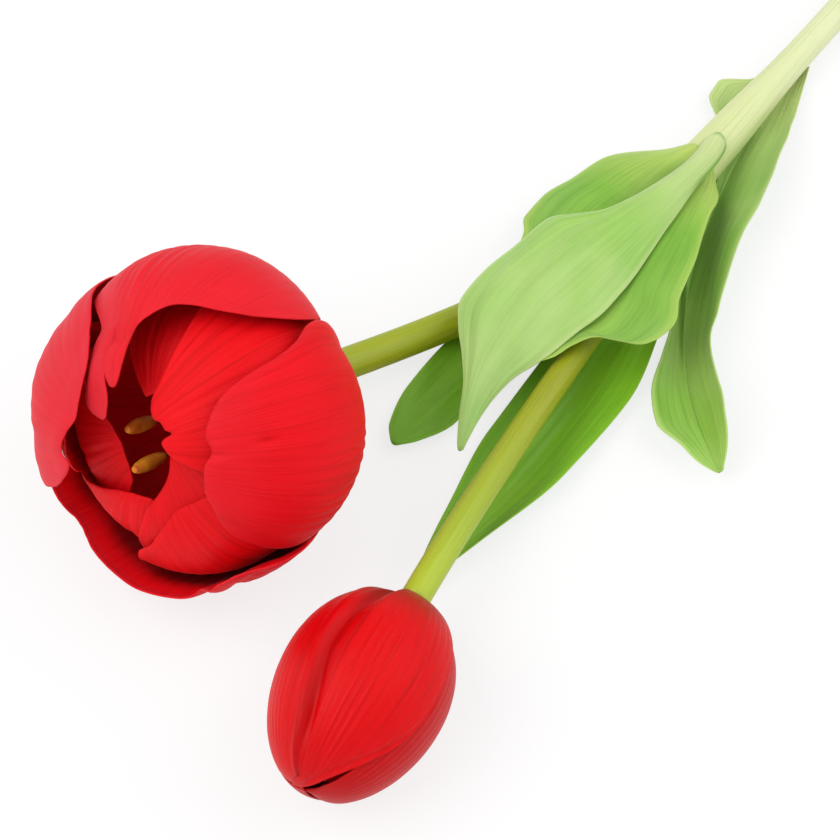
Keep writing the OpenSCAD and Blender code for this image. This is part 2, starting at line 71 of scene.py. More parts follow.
def smooth(table, x, col=1):
    """Smooth curve without overshoot through column col of a table, at x."""
    rows = np.asarray(table, float)
    k, v = rows[:, 0], rows[:, col]
    d = np.diff(v) / np.diff(k)
    m = np.zeros(len(k))
    m[0], m[-1] = d[0], d[-1]
    for j in range(1, len(k) - 1):
        a, b = d[j - 1], d[j]
        m[j] = 2 * a * b / (a + b) if a * b > 0 else 0.0
    x = np.clip(np.asarray(x, float), k[0], k[-1])
    i = np.clip(np.searchsorted(k, x, side="right") - 1, 0, len(k) - 2)
    h = k[i + 1] - k[i]
    s = (x - k[i]) / h
    return ((2 * s ** 3 - 3 * s ** 2 + 1) * v[i] + (s ** 3 - 2 * s ** 2 + s) * h * m[i]
            + (3 * s ** 2 - 2 * s ** 3) * v[i + 1] + (s ** 3 - s ** 2) * h * m[i + 1])


def bump(x, centre, width):
    """Soft hill of height 1 at centre."""
    return np.exp(-((np.asarray(x, float) - centre) / width) ** 2)


def step(x, low, high):
    """0 below low, 1 above high, smooth between."""
    s = np.clip((np.asarray(x, float) - low) / (high - low), 0, 1)
    return s * s * (3 - 2 * s)


def window(x, low, high, soft):
    """1 between low and high with soft ends."""
    return step(x, low - soft, low + soft) * (1 - step(x, high - soft, high + soft))


def aim(turn, tilt):
    """Unit vector at a turn about Z and a tilt above the table, in degrees."""
    a, e = np.radians(turn), np.radians(tilt)
    return np.array([np.cos(e) * np.cos(a), np.cos(e) * np.sin(a), np.sin(e)])


def head_frame(turn, tilt):
    """Columns are a head's own axes in the frame's axes, the third along its stem."""
    a, e = np.radians(turn), np.radians(90 - tilt)
    rz = np.array([[np.cos(a), -np.sin(a), 0], [np.sin(a), np.cos(a), 0], [0, 0, 1]])
    ry = np.array([[np.cos(e), 0, np.sin(e)], [0, 1, 0], [-np.sin(e), 0, np.cos(e)]])
    return rz @ ry


# ---------------------------------------------------------------- sizes, as in the CAD
STEM_LEN, STEM_R, SHEATH_LEN, SHEATH_R = 165.0, 3.75, 47.0, 5.6
FORK_LEN, OPEN_STEM_R, BUD_STEM_R = 23.0, 4.0, 3.4
OPEN_R, OPEN_H, OPEN_TURN, OPEN_TILT = 37.0, 57.0, 178.0, 37.5
BUD_R, BUD_LEN, BUD_TURN, BUD_TILT = 20.0, 49.5, 191.5, 2.0
OPEN_REACH, OPEN_SIDE, BUD_REACH, BUD_SIDE = 123.0, 36.0, 148.0, 24.0
PETAL_T, TEPAL_T, LEAF_T = 1.0, 0.9, 0.9
PETAL_SEAT = 4.0                           # radius at which the petals leave their hub
CROWN, CROWN_FULL = 1.8, 0.35              # a petal's sides lie closer in, in full from this height share
TABLE_GAP, SLEEVE_GAP, SEAT_GAP = 0.6, 0.1, 1.2      # sheath to table, branch to middle, branch to seat
OPEN_LEAD, BUD_LEAD = 30.0, 38.0           # a branch lines up with its head over this length (CAD: 30.06, 38)
FORK_RISE, LEAF_GAP = 0.35, 0.5            # the fork's top above the stem's, and the gap under the cup leaf

TABLE = -SHEATH_R - TABLE_GAP              # the table's height
FORK = np.array([-STEM_LEN, 0, 0])
OPEN_AXIS, BUD_AXIS = aim(OPEN_TURN, OPEN_TILT), aim(BUD_TURN, BUD_TILT)
OPEN_FRAME, BUD_FRAME = head_frame(OPEN_TURN, OPEN_TILT), head_frame(BUD_TURN, BUD_TILT)
OPEN_SEAT = FORK + [-OPEN_REACH, OPEN_SIDE, TABLE + 0.95 * OPEN_R - 0.5 * OPEN_H * OPEN_AXIS[2]]
BUD_SEAT = FORK + [-BUD_REACH, -BUD_SIDE, TABLE + BUD_R]
OPEN_EXIT = FORK + [-FORK_LEN, OPEN_STEM_R + SLEEVE_GAP, 0]
BUD_EXIT = FORK + [-FORK_LEN, -BUD_STEM_R - SLEEVE_GAP, 0]
OPEN_ROUTE = [OPEN_EXIT, OPEN_EXIT + [-30, -3, 2.5], OPEN_SEAT - OPEN_LEAD * OPEN_AXIS,
              OPEN_SEAT - SEAT_GAP * OPEN_AXIS]
BUD_ROUTE = [BUD_EXIT, BUD_EXIT + [-30, -4.5, -0.8], BUD_SEAT - BUD_LEAD * BUD_AXIS,
             BUD_SEAT - SEAT_GAP * BUD_AXIS]


def profile(r, z):
    """Petal profile: four (radius, height) control points, from shares of OPEN_R and OPEN_H."""
    return [(PETAL_SEAT, z[0] * OPEN_H)] + [(r[i] * OPEN_R, z[i + 1] * OPEN_H) for i in range(3)]


CLOSED = profile((1.24, 1.32, 0.41), (0, 0.035, 0.81, 1))
TALL = profile((1.24, 1.35, 0.43), (0, 0.035, 0.825, 1))
LOOSE = profile((1.25, 1.34, 0.44), (0, 0.035, 0.825, 1))
WIDE = profile((1.15, 1.19, 0.80), (0, 0.035, 0.74, 0.98))
FOLD = profile((1.16, 1.27, 0.42), (0.02, 0.04, 0.79, 0.99))
OVER = profile((1.08, 1.18, 0.27), (0.055, 0.09, 0.79, 0.965))
ROUND = profile((0.95, 1.30, 0.30), (0.055, 0.06, 0.92, 0.84))
INNER = profile((0.88, 0.99, 0.22), (0.11, 0.12, 0.80, 0.80))
BUD_P = [(PETAL_SEAT, 0), (1.39 * BUD_R, 0.145 * BUD_LEN), (0.98 * BUD_R, 0.95 * BUD_LEN),
         (0.06 * BUD_R, BUD_LEN)]
BUD_FILL_P = [(PETAL_SEAT + 0.7, 0)] + BUD_P[1:]

# Share of the full half-width at each height share
PETAL_WIDTH = [(0, .45), (.15, .72), (.4, .96), (.6, 1), (1.2, 1)]
TOP_WIDTH = [(0, .45), (.15, .72), (.4, .96), (.6, 1), (.69, .97), (.79, .83), (.88, .70), (.9, .78),
             (.93, .90), (.96, 1.05), (1.01, 1.25), (1.07, 1.3)]
LEFT_WIDTH = [(0, .45), (.15, .62), (.4, .82), (.66, .86), (.72, .90), (.8, .97), (.86, 1), (1.2, 1)]
BUD_WIDTH = [(0, .8), (.3, 1), (1.2, 1)]


# ---------------------------------------------------------------- relief, in mm along a surface's normal
# u runs from a petal's base to its margin and m from side to side. s is the height share and turn the degrees
# from the petal's middle. On a leaf, t runs from base to tip and v from side to side, positive toward +Y.
def ridges(turn, pitch, s, phase=0.0):
    """Uneven lengthwise ridges, between -1 and 1, that wander a little along the petal."""
    w = (2 * np.pi * turn / pitch + phase + 0.9 * np.sin(5.3 * s + phase)
         + 0.5 * np.sin(0.31 * turn + 2 * phase))
    return (np.cos(w) + 0.35 * np.cos(1.93 * w + 1.1)) / 1.35


def top_relief(u, m, s, turn):
    """Ridges, two swells, a crease under the raised left end and a dent below the rim."""
    return (0.22 * ridges(turn, 4.2, s) * window(m, 0.08, 0.62, 0.07) * window(s, 0.32, 0.80, 0.08)
            + 0.04 * ridges(turn, 5.1, s, 1.3) * window(m, -0.9, 0.05, 0.1) * window(s, 0.3, 0.75, 0.1)
            + 0.7 * bump(m, -0.25, 0.28) * bump(s, 0.6, 0.16)
            + 0.5 * bump(m, 0.34, 0.07) * bump(s, 0.71, 0.08)
            - 0.95 * bump(s, 0.926, 0.016) * window(m, 0.20, 0.56, 0.06)
            + 0.5 * bump(s, 0.97, 0.03) * window(m, 0.2, 0.9, 0.1)
            - 0.35 * bump(u, 0.93, 0.04) * bump(m, -0.5, 0.3))


def left_relief(u, m, s, turn):
    """Fine ridges, a swell between two grooves and a raised rim."""
    return (0.06 * ridges(turn, 6.3, s, 0.4) * window(s, 0.3, 0.95, 0.1)
            + 0.5 * bump(m, 0.1, 0.25) * bump(s, 0.72, 0.15)
            - 0.5 * bump(m, 0.62, 0.1) * window(s, 0.5, 0.9, 0.1) + 0.35 * bump(u, 0.985, 0.03)
            - 0.45 * bump(m, -0.55, 0.14) * window(s, 0.35, 0.85, 0.12))


def low_relief(u, m, s, turn):
    """A lip that flares in two lobes, a dent below one, ridges, and a groove between the lobes."""
    return (1.5 * step(u, 0.84, 1.0) * window(m, -1.1, 0.42, 0.12)
            + 2.2 * step(u, 0.82, 1.0) * window(m, 0.6, 0.95, 0.12)
            - 0.9 * bump(u, 0.84, 0.05) * window(m, 0.5, 1.0, 0.1)
            + 0.18 * ridges(turn, 5.0, s, 2.0) * window(s, 0.25, 0.7, 0.1)
            - 0.7 * bump(m, 0.46, 0.045) * window(u, 0.7, 1.1, 0.15))


def right_relief(u, m, s, turn):
    """Ridges, a raised side, two small dents, a swell and a raised rim."""
    return (0.24 * ridges(turn, 4.6, s, 0.8) * window(m, -0.8, 0.0, 0.14) * window(s, 0.28, 0.66, 0.12)
            + 1.2 * step(m, 0.78, 1.0) * window(s, 0.2, 0.9, 0.15)
            + 0.04 * ridges(turn, 5.0, s) * window(m, 0.2, 0.95, 0.08) * window(s, 0.3, 0.85, 0.1)
            - 0.9 * bump(m, 0.17, 0.035) * bump(s, 0.805, 0.025)
            - 0.8 * bump(m, 0.05, 0.05) * bump(s, 0.94, 0.03)
            + 0.45 * bump(m, 0.5, 0.22) * bump(s, 0.72, 0.14)
            + 0.3 * bump(u, 0.98, 0.03) * window(m, -0.8, 0.8, 0.1))


def inner_relief(u, m, s, turn):
    """Fine ridges, a raised rim and a shallow groove by the middle."""
    return (0.05 * ridges(turn, 6.4, s, 0.5) * window(s, 0.35, 0.97, 0.08) + 0.25 * bump(u, 0.975, 0.03)
            - 0.3 * bump(m, 0.1, 0.06) * window(s, 0.55, 0.95, 0.1))


def bud_groove(u, m, s, turn):
    """A groove and a crest beside it that run up the tepal, and a tip that is pulled in."""
    line = np.interp(s, (0, 0.07, 0.33, 0.46, 0.58, 0.70, 0.86),
                     (-0.75, -0.72, -0.57, -0.55, -0.65, -0.73, -0.8))
    crest = np.interp(s, (0, 0.15, 0.52, 0.70, 0.93), (-0.25, -0.3, -0.47, -0.58, -0.55))
    return (-1.5 * bump(m, line, 0.10) * window(s, 0.08, 0.76, 0.09)
            + 0.5 * bump(m, crest, 0.09) * window(s, 0.1, 0.9, 0.08)
            + 0.04 * ridges(turn, 6.0, s, 1.0) * window(s, 0.15, 0.85, 0.1) - 0.7 * step(s, 0.88, 1.0))


def bud_front(u, m, s, turn):
    """Ridges, a dent below the margin, and an upper half that is pulled in to close the tip."""
    return (0.10 * ridges(turn, 5.2, s, 0.3) * window(m, 0.1, 0.85, 0.15) * window(s, 0.3, 0.85, 0.1)
            + 0.04 * ridges(turn, 6.6, s, 2.1) * window(m, -0.9, 0.1, 0.15)
            - 0.35 * bump(u, 0.93, 0.035) * window(m, -0.9, 0.5, 0.15)
            - 1.1 * step(s, 0.45, 0.8) - 0.5 * step(s, 0.9, 1.02))


def bud_other(u, m, s, turn):
    """Fine ridges and a tip that is pulled in."""
    return 0.04 * ridges(turn, 6.0, s, 0.7) * window(s, 0.15, 0.85, 0.1) - 1.0 * step(s, 0.84, 1.0)


def bud_back(u, m, s, turn):
    """The same, pulled in further over the upper half."""
    return bud_other(u, m, s, turn) - 1.3 * step(s, 0.5, 0.82)


def front_lines(t, v):
    """A raised rib at the base, one side lifted at mid-length, waves and fine veins."""
    return (0.5 * bump(v, 0, 0.5) * window(t, -0.1, 0.25, 0.07)
            + 0.9 * bump(t, 0.5, 0.07) * step(v, 0.3, 1.0)
            + 0.5 * np.sin(9 * v + 14 * t) * window(t, 0.45, 0.85, 0.1) * window(np.abs(v), -1, 0.7, 0.2)
            + 0.03 * np.cos(2 * np.pi * v * 5 + 3 * t) * window(t, 0.35, 0.95, 0.05))


def leaf_lines(t, v):
    """Fine veins over slow waves."""
    return (0.03 * np.cos(2 * np.pi * v * 5 + 4 * t)
            + 0.35 * np.sin(6 * v + 11 * t) * window(t, 0.15, 0.9, 0.1))


def cup_lines(t, v):
    """The same, with the lobe on the bud's side lifted."""
    return leaf_lines(t, v) + 1.3 * bump(t, 0.76, 0.05) * step(-v, 0.45, 1.0)


def side_lines(t, v):
    """The same, with slanting creases on one side and a raised rib toward the tip."""
    crease = (np.sin(2 * np.pi * (v * 1.4 + 3.3 * t)) * window(v, 0.15, 0.95, 0.15)
              * window(t, 0.3, 0.92, 0.06))
    return leaf_lines(t, v) + 0.35 * crease + 0.9 * bump(v, 0.05, 0.10) * window(t, 0.62, 0.97, 0.06)


# ---------------------------------------------------------------- petals
# Sway: degrees that are added to turn, and so slide a petal's side round the head
def no_sway(u, m, s, turn):
    return 0.0 * u


def top_sway(u, m, s, turn):
    return 0.2 * turn * step(s, 0.96, 1.02) * step(m, 0.5, 1.0)


def left_sway(u, m, s, turn):
    return turn * step(m, 0.5, 0.95) * np.interp(s, (0.70, 0.78, 0.82, 0.94), (0, 0.04, 0.10, 0.22))


def right_sway(u, m, s, turn):
    return 1.5 * step(m, 0.7, 1.0) * window(s, 0.15, 0.62, 0.1)


def tepal(mid, half, lay, crown, margin, relief=bud_other, curve=BUD_P, **more):
    """A petal of the bud: all of them share a width table and have no twist."""
    return dict(profile=curve, width=BUD_WIDTH, mid=mid, half=half, lay=lay, twist=0, crown=crown,
                margin=margin, relief=relief, **more)


# Each row follows the CAD's petal of that name. Some margins are finer or fuller at their ends.
PETALS = {
    "outer_petal_top": dict(
        profile=TALL, mid=203, half=45, lay=-0.6, twist=-0.01, crown=1.25, width=TOP_WIDTH,
        relief=top_relief, sway=top_sway, margin=[
            (-1, .42), (-.955, .53), (-.87, .63), (-.79, .695), (-.625, .76), (-.435, .79), (-.26, .815),
            (-.05, .86), (.1, .895), (.13, .94), (.15, .99), (.18, 1.015), (.28, 1.03), (.38, 1.027),
            (.44, 1.012), (.465, .995), (.50, 1.04), (.6, 1.06), (.8, 1.072), (.93, 1.066), (1, 1.04)]),
    "outer_petal_left": dict(
        profile=LOOSE, mid=280, half=41, lay=0.5, twist=0.045, crown=0.2, width=LEFT_WIDTH,
        relief=left_relief, sway=left_sway, margin=[
            (-1, .90), (-.944, .945), (-.80, .98), (-.4, 1.02), (-.04, 1.035), (.35, 1.02), (.68, 1.005),
            (.84, 1.02), (.94, 1.005), (1, .965)]),
    "outer_petal_low": dict(
        profile=WIDE, mid=17, half=56, twist=0, crown=0, relief=low_relief, margin=[
            (-1, .64), (-.95, .715), (-.89, .735), (-.8, .73), (-.65, .70), (-.43, .745), (-.2, .775),
            (.05, .81), (.27, .795), (.45, .785), (.55, .81), (.66, .86), (.78, .885), (.88, .87), (.95, .80),
            (1, .62)]),
    "outer_petal_right": dict(
        profile=CLOSED, mid=115, half=43, twist=-0.01, crown=1.2,
        relief=right_relief, sway=right_sway, margin=[
            (-1, .5), (-.98, .74), (-.95, .81), (-.89, .855), (-.69, .905), (-.46, .94), (-.12, .95),
            (.11, .935), (.33, .945), (.53, .93), (.74, .885), (.82, .81), (.85, .71), (.89, .625),
            (.96, .55), (1, .48)]),
    "inner_petal_1": dict(profile=OVER, mid=147, half=45, crown=0.4, margin=[
        (-1, .935), (-.9, .985), (-.76, 1.0), (-.5, 1.01), (-.38, 1.003), (-.28, .985), (-.15, .997),
        (.08, 1.0), (.3, 1.01), (.53, 1.005), (.74, .985), (.8, .94), (.88, .86), (.93, .78), (1, .65)]),
    "inner_petal_2": dict(profile=INNER, mid=213, half=34, crown=0.4, margin=[
        (-1, .5), (-.62, .72), (-.55, .86), (-.48, .95), (0, .995), (.48, 1.0), (.62, .94), (.7, .8),
        (1, .55)]),
    "inner_petal_3": dict(profile=ROUND, mid=315, half=44, lay=-4.0, crown=0.4, margin=[
        (-1, .8), (-.6, .95), (-.26, .985), (.1, .995), (.5, .985), (.85, .955), (1, .8)]),
    "inner_petal_4": dict(profile=ROUND, mid=359, half=38, lay=-2.5, crown=0.4, margin=[
        (-1, .6), (-.75, .78), (-.58, .85), (-.16, .93), (.2, .95), (.5, .955), (.75, .91), (1, .7)]),
    "inner_petal_5": dict(profile=ROUND, mid=58, half=44, lay=-1.1, crown=0.4, margin=[
        (-1, .84), (-.85, .935), (-.59, .975), (-.17, 1.015), (.19, 1.045), (.45, 1.03), (.7, .985),
        (1, .8)]),
    "inner_petal_6": dict(profile=ROUND, mid=56, half=45, lay=0.95, crown=0.4, margin=[
        (-1, .70), (-.88, .80), (-.68, .845), (-.54, .88), (-.29, .92), (.01, .94), (.48, .925), (1, .75)]),
    "inner_petal_7": dict(profile=FOLD, mid=296, half=31, lay=-1.5, margin=[
        (-1, .6), (-.7, .86), (-.2, .95), (.3, .93), (.75, .85), (.93, .79), (1, .6)]),
    "inner_petal_8": dict(profile=INNER, mid=136, half=32, crown=0.4, margin=[
        (-1, .5), (-.7, .82), (-.3, .90), (.3, .90), (.7, .82), (1, .5)]),
}
FILL_MARGIN = [(-1, .6), (-.6, .88), (0, .95), (.6, .88), (1, .6)]
TEPALS = {
    "bud_tepal_1": tepal(153.5, 34.5, 1.3, 0, [
        (-1, .45), (-.97, .52), (-.9, .62), (-.65, .74), (-.33, .84), (.05, .935), (.3, .985), (.5, 1.01),
        (.75, 1.02), (.92, 1.01), (1, .98)], relief=bud_front, cap=6.0),
    "bud_tepal_2": tepal(236, 56, 0.1, 0.3, [(-1, .88), (-.6, 1.0), (0, 1.03), (.6, 1.02), (1, .90)],
                         relief=bud_groove),
    "bud_tepal_3": tepal(77, 55, 0.2, 0.3, [(-1, .85), (-.6, 1.0), (0, 1.03), (.6, 1.02), (1, .92)]),
    "bud_tepal_4": tepal(341, 51, 1.5, 0.3, [(-1, .7), (-.7, .92), (0, 1.02), (.7, .92), (1, .7)],
                         relief=bud_back),
    "bud_tepal_5": tepal(295, 40, -2.6, 0.2, FILL_MARGIN, curve=BUD_FILL_P),
    "bud_tepal_6": tepal(118, 40, -2.6, 0.2, FILL_MARGIN, curve=BUD_FILL_P),
}


CAP_SOFTNESS = 1.0


def petal_grid(p, rows, cols, depth=0.0):
    """Surface of a petal in its head's own frame, depth inside its outer face, with its (u, m) coordinates.

    p holds profile, mid (middle angle), half (half-width angle), lay (offset out), twist (offset per degree),
    crown, width (share of half at each height share), margin [(m, height share)], relief, sway and cap (least
    half-width of a tip).
    """
    u, m = np.meshgrid(np.linspace(0, 1, rows + 1), np.linspace(-1, 1, cols + 1), indexing="ij")
    s = u * smooth(p["margin"], m)
    q, d = bez(p["profile"], s), bez_dir(p["profile"], s)
    turn = m * p["half"] * smooth(p.get("width", PETAL_WIDTH), s)
    crown = p.get("crown", 1) * CROWN * m * m * np.minimum(1, s / CROWN_FULL)
    relief = p.get("relief", inner_relief)(u, m, s, turn)
    off = p.get("lay", 0) - depth + p.get("twist", -0.02) * turn - crown + relief
    r, z = q[..., 0] + off * d[..., 1], q[..., 1] - off * d[..., 0]
    a, b = np.radians(turn + p.get("sway", no_sway)(u, m, s, turn)), np.radians(p["mid"])
    side = r
    if "cap" in p:                         # soft maximum of r and cap
        side = (r + p["cap"] + np.sqrt((r - p["cap"]) ** 2 + CAP_SOFTNESS ** 2)) / 2
    x, y = r * np.cos(a), side * np.sin(a)
    return np.stack([x * np.cos(b) - y * np.sin(b), x * np.sin(b) + y * np.cos(b), z], -1), u, m


# ---------------------------------------------------------------- leaves
# A route from the fork, then stations: share of length, width toward +Y and toward -Y, cup toward +Y and
# toward -Y, roll, fold, in millimetres and degrees.
OVER_Z, UNDER_Z = STEM_R + FORK_RISE + LEAF_GAP + LEAF_T, -STEM_R - 0.9
LEAVES = {
    "cup_leaf": dict(
        route=[(-0.6, 0.5, OVER_Z), (-20, 2.4, 6.6), (-51, 1.8, 10), (-86, 0.8, 8.5)],
        relief=cup_lines, cut=[
            (0, 6.5, 6.5, -72, -72, 0, 0), (.06, 9.5, 9.5, -60, -52, 0, 0), (.12, 13, 12, -45, -26, 0, 0),
            (.25, 19, 15, -26, 5, -3, 0), (.35, 21.5, 18, -24, 8, -5, 0), (.45, 25, 21.5, -25, 10, -6, 0),
            (.54, 24.5, 24, -25, 11, -6, 0), (.6, 20.5, 26, -22, 14, -6, 0), (.68, 17, 30, -18, 16, -6, 0),
            (.75, 14, 31, -12, 20, -6, 0), (.785, 12, 28.5, -10, 22, -5, 0), (.81, 11, 16, -8, 20, -4, 0),
            (.85, 9, 12.3, -5, 20, -3, 0), (.9, 7, 9.5, -2, 15, 0, 0), (.95, 4, 5, 0, 10, 0, 0),
            (1, 1, 1, 0, 0, 0, 0)]),
    "front_leaf": dict(
        route=[(4, -1, SHEATH_R + 2), (-24.6, -9.3, 12.1), (-66.4, 20.8, 27), (-106, -5.2, 4.9)],
        relief=front_lines, cut=[
            (0, 2.2, 2.2, -60, -60, 0, 0), (.015, 3.6, 3.6, -68, -68, 0, 0), (.04, 4.1, 4.1, -70, -70, 0, 0),
            (.15, 3.5, 4.5, -60, -60, 0, 0), (.3, 3, 8.6, -45, -45, 0, 0), (.4, 4, 12.5, -40, -38, 0, 0),
            (.46, 7.5, 14.7, -38, -34, 0, 0), (.51, 11.5, 16, -38, -30, 0, 0),
            (.6, 12.3, 17.2, -40, -25, 0, 0), (.68, 13.3, 16, -40, -28, 2, 0),
            (.75, 13, 14.5, -40, -30, 5, 0), (.8, 9.5, 12.5, -40, -34, 5, 0), (.85, 5, 9.3, -40, -38, 5, 0),
            (.9, 2.2, 6.5, -40, -40, 5, 0), (.95, 1.3, 3.6, -30, -30, 5, 0), (1, .6, .6, 0, 0, 0, 0)]),
    "bud_leaf": dict(
        route=[(-12.7, -6.6, UNDER_Z), (-54.4, -14.2, -5.4), (-96.4, -17.2, -5.4), (-138.7, -17.2, 1)], cut=[
            (0, 2.5, 2, 0, 0, 0, 0), (.2, 7, 4.5, 15, 15, 0, 0), (.3, 9.5, 9, 20, 20, 0, 0),
            (.45, 11.5, 12, 25, 25, 0, 0), (.65, 11, 11, 30, 30, 0, 0), (.85, 6, 5, 30, 30, 0, 0),
            (1, .6, .6, 0, 0, 0, 0)]),
    "back_leaf": dict(
        route=[(-12.7, 3.4, UNDER_Z), (-49.4, 3.8, -5.4), (-79.4, 12.8, -5.4), (-110.7, 10.8, -3)], cut=[
            (0, 3, 2.5, 0, 0, 0, 0), (.3, 7, 5, 15, 15, 0, 0), (.6, 9, 6.5, 8, 8, 0, 0),
            (.85, 7, 8, 10, 10, 0, 0), (.96, 4, 4, 0, 0, 0, 0), (1, 1, 1, 0, 0, 0, 0)]),
    "side_leaf": dict(
        route=[(43, 0, -STEM_R - 1), (5.2, -5.4, -5.7), (-44.8, -10.4, -5.6), (-70, -54.2, -1)],
        relief=side_lines, cut=[
            (0, 5, 4, 60, 60, 0, 0), (.08, 7.5, 6, 10, 40, 0, 0), (.13, 15, 8, 10, 50, 0, 0),
            (.17, 15, 9.5, 10, 50, -2, 3), (.22, 9.5, 11.5, 5, 35, -8, 10), (.27, 6, 13, 0, 30, -12, 14),
            (.35, 3, 15, 0, 15, -17, 20), (.42, 2, 15.5, 0, 10, -18, 23), (.5, 2.5, 13.6, 0, 10, -18, 23),
            (.6, 3, 12.7, 0, 10, -18, 23), (.7, 3.5, 11.5, 10, 10, -20, 25), (.76, 5.5, 11, 15, 15, -25, 28),
            (.84, 9.5, 12.8, 20, 20, -30, 30), (.9, 10.5, 12.8, 28, 20, -30, 30),
            (.94, 6.5, 11, 30, 20, -30, 30), (.975, 3.5, 6, 10, 10, -30, 25), (1, 1, 1, 0, 0, -30, 20)]),
}
MIN_CUP = 1.0                              # a flatter arc is drawn with this many degrees, as in the CAD


def leaf_grid(p, rows, cols):
    """Top surface of a leaf, its (t, v) coordinates and its normals."""
    t, v = np.meshgrid(np.linspace(0, 1, rows + 1), np.linspace(-1, 1, cols + 1), indexing="ij")
    route, cut = p["route"], p["cut"]
    d = bez_dir(route, t)
    flat = np.stack([d[..., 1], -d[..., 0], 0 * t], -1)
    flat /= np.linalg.norm(flat, axis=-1, keepdims=True)
    up = np.cross(flat, d)
    roll, fold = np.radians(smooth(cut, t, 5))[..., None], np.radians(smooth(cut, t, 6))[..., None]
    side = np.where(v < 0, -1.0, 1.0)[..., None]
    across, rise = flat * np.cos(roll) + up * np.sin(roll), up * np.cos(roll) - flat * np.sin(roll)
    out = side * across * np.cos(fold) + rise * np.sin(fold)
    lift = rise * np.cos(fold) - side * across * np.sin(fold)
    w = np.where(v < 0, smooth(cut, t, 2), smooth(cut, t, 1))
    c = np.where(v < 0, smooth(cut, t, 4), smooth(cut, t, 3))
    c = np.radians(np.where(np.abs(c) < MIN_CUP, MIN_CUP, c))
    a, k = (c * np.abs(v))[..., None], (w / c)[..., None]
    face = np.where(v[..., None] == 0, rise, lift * np.cos(a) - out * np.sin(a))
    g = bez(route, t) + out * k * np.sin(a) + lift * k * (1 - np.cos(a)) + FORK
    return g + face * p.get("relief", leaf_lines)(t, v)[..., None], t, v, face


# ---------------------------------------------------------------- meshes
RIM = 0.45                                 # how far a rounded rim stands out, as a share of its thickness


def loft(outside, inside):
    """Vertices and quads of a closed sheet between two equal grids, and the outline's indices."""
    nu, nv = outside.shape[:2]
    n = nu * nv
    ij = np.arange(n).reshape(nu, nv)
    a, b, c, d = ij[:-1, :-1], ij[1:, :-1], ij[1:, 1:], ij[:-1, 1:]
    top = np.stack([a, b, c, d], -1).reshape(-1, 4)
    loop = np.concatenate([ij[0, :-1], ij[:-1, -1], ij[-1, :0:-1], ij[:0:-1, 0]])
    deep = np.concatenate([ij[1, :-1], ij[:-1, -2], ij[-2, :0:-1], ij[:0:-1, 1]])
    over, under = outside.reshape(-1, 3), inside.reshape(-1, 3)
    mid = (over[loop] + under[loop]) / 2
    away = mid - (over[deep] + under[deep]) / 2
    away /= np.linalg.norm(away, axis=1, keepdims=True) + 1e-9      # never 0
    ring = mid + away * np.linalg.norm(over[loop] - under[loop], axis=1, keepdims=True) * RIM
    k = 2 * n + np.arange(len(loop))
    nxt = np.roll(loop, -1)
    faces = [top, n + top[:, ::-1], np.stack([loop, nxt, np.roll(k, -1), k], -1),
             np.stack([k, np.roll(k, -1), n + nxt, n + loop], -1)]
    return np.concatenate([over, under, ring]), np.concatenate(faces), loop


def add_mesh(name, verts, faces, coords, painted_light=0.0):
    """Smooth mesh object of quads, with material coordinates and a share of painted light at each vertex:
    painted sheen above 0, painted shade below.
    """
    mesh = bpy.data.meshes.new(name)
    mesh.vertices.add(len(verts))
    mesh.vertices.foreach_set("co", (verts * MM).ravel())
    corners = faces.astype(np.int32)
    mesh.loops.add(corners.size)
    mesh.loops.foreach_set("vertex_index", corners.ravel())
    mesh.polygons.add(len(corners))
    mesh.polygons.foreach_set("loop_start", np.arange(len(corners), dtype=np.int32) * corners.shape[1])
    mesh.update(calc_edges=True)
    mesh.shade_smooth()
    mesh.uv_layers.new(name="UVMap").data.foreach_set("uv", coords[corners.ravel()].ravel())
    # Attribute of painted light: sheen and shade painted into the colour
    shade = mesh.attributes.new("painted_light", "FLOAT", "POINT")
    shade.data.foreach_set("value", np.broadcast_to(np.asarray(painted_light, float), len(verts)).copy())
    mesh.validate()
    obj = bpy.data.objects.new(name, mesh)
    bpy.context.scene.collection.objects.link(obj)
    return obj


def finish_piece(obj, body, slot, material, *nodes):
    """Gives a piece its material and body and hides the CAD nodes that it replaces; slot is not used."""
    obj.data.materials.append(material)
    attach(obj, body)
    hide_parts(*nodes)


# ---------------------------------------------------------------- material nodes
def nodes_of(name):
    """New material with a principled shader."""
    mat = bpy.data.materials.new(name)
    mat.use_nodes = True
    tree = mat.node_tree
    tree.nodes.clear()
    out = tree.nodes.new("ShaderNodeOutputMaterial")
    shader = tree.nodes.new("ShaderNodeBsdfPrincipled")
    tree.links.new(shader.outputs["BSDF"], out.inputs["Surface"])
    return mat, tree, shader


def lin(*rgb):
    """Scene-linear colour of an 8-bit sRGB one."""
    c = np.array(rgb, float) / 255
    return tuple(np.where(c <= 0.04045, c / 12.92, ((c + 0.055) / 1.055) ** 2.4)) + (1.0,)


def link(tree, value, socket):
    """Sets an input from a value or from another node's output."""
    if isinstance(value, bpy.types.NodeSocket):
        tree.links.new(value, socket)
    else:
        socket.default_value = value


def put(tree, node, **inputs):
    """Sets a node's inputs by their names, with _ for a space."""
    for key, value in inputs.items():
        link(tree, value, node.inputs[key.replace("_", " ")])


def maths(tree, op, *values):
    n = tree.nodes.new("ShaderNodeMath")
    n.operation = op
    for socket, value in zip(n.inputs, values):
        link(tree, value, socket)
    return n.outputs[0]


def times(tree, a, b):
    return maths(tree, "MULTIPLY", a, b)


def weigh(tree, a, share_a, b, share_b):
    """Sum of a and b in the given shares."""
    return maths(tree, "MULTIPLY_ADD", a, share_a, times(tree, b, share_b))


def mix(tree, fac, a, b, mode="MIX"):
    n = tree.nodes.new("ShaderNodeMix")
    n.data_type, n.blend_type = "RGBA", mode
    put(tree, n, Factor=fac, A=a, B=b)
    return n.outputs["Result"]


